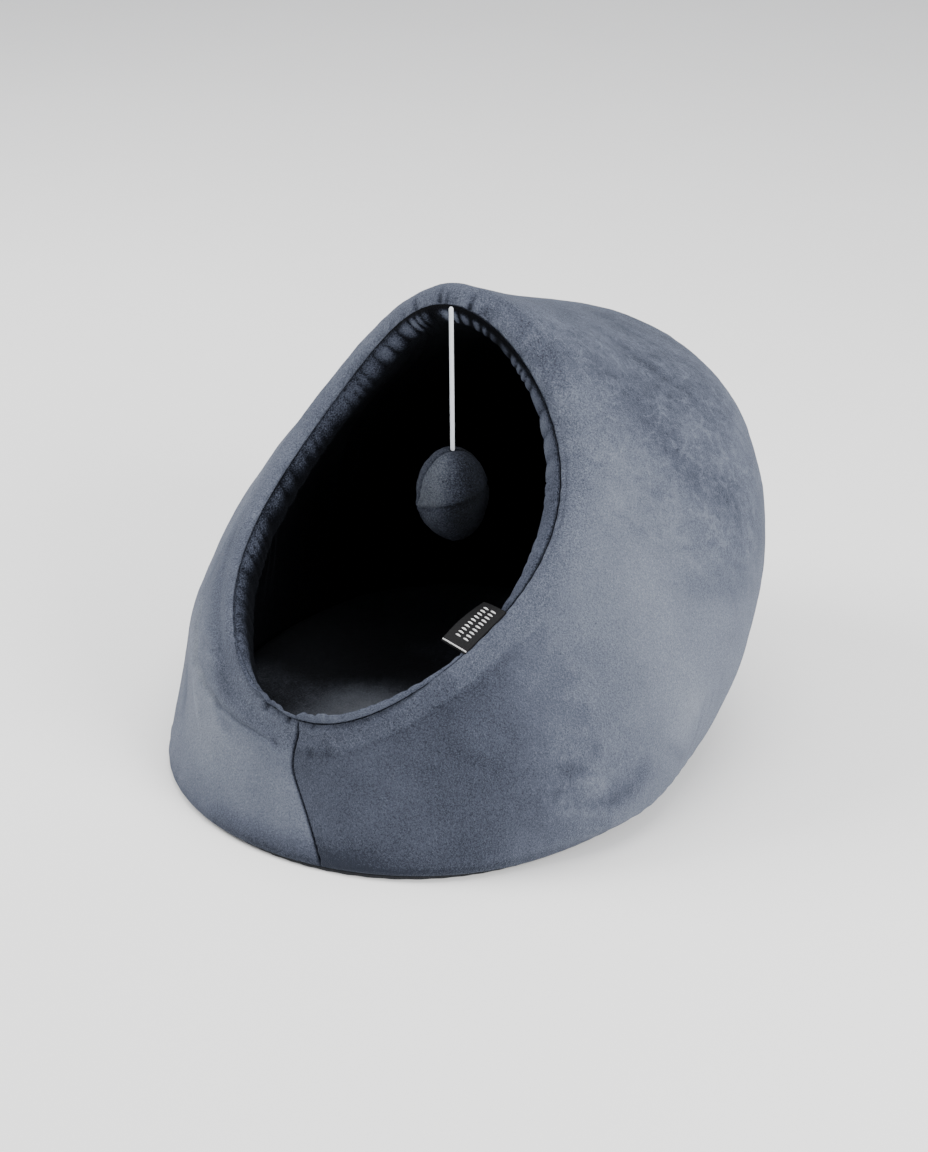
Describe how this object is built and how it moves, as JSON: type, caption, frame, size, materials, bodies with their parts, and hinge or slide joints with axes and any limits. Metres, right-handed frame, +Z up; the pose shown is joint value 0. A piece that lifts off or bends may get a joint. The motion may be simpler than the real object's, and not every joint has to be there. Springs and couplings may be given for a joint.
{
  "type": "padded plush pet cave",
  "caption": "Soft padded velour pet cave with a slanted egg-shaped mouth, rolled rim, lining, loose floor cushion and a stuffed toy hanging on an elastic cord.",
  "frame": {"origin": "bottom centre of the cave's bounding box, on the floor", "axes": "+Z up, -Y out of the mouth, +X to the right as seen from the front"},
  "size_m": [0.3892, 0.4462, 0.3175],
  "materials": {
    "velour": "short-pile brushed velour, blue-grey, matt with a soft sheen",
    "lining_velour": "the same velour, darker, gathered at the rim",
    "dark_cloth": "plain dark non-slip cloth",
    "cushion_velour": "short-pile velour over a soft filling",
    "toy_velour": "short-pile velour over a firm filling",
    "white_elastic": "braided white elastic",
    "black_tape": "smooth black woven tape"
  },
  "bodies": {
    "root": {"outer_shell": "velour", "lining": "lining_velour", "base": "dark_cloth", "cushion": "cushion_velour", "toy_ball": "toy_velour", "toy_cord": "white_elastic", "label": "black_tape"}
  },
  "joints": []
}
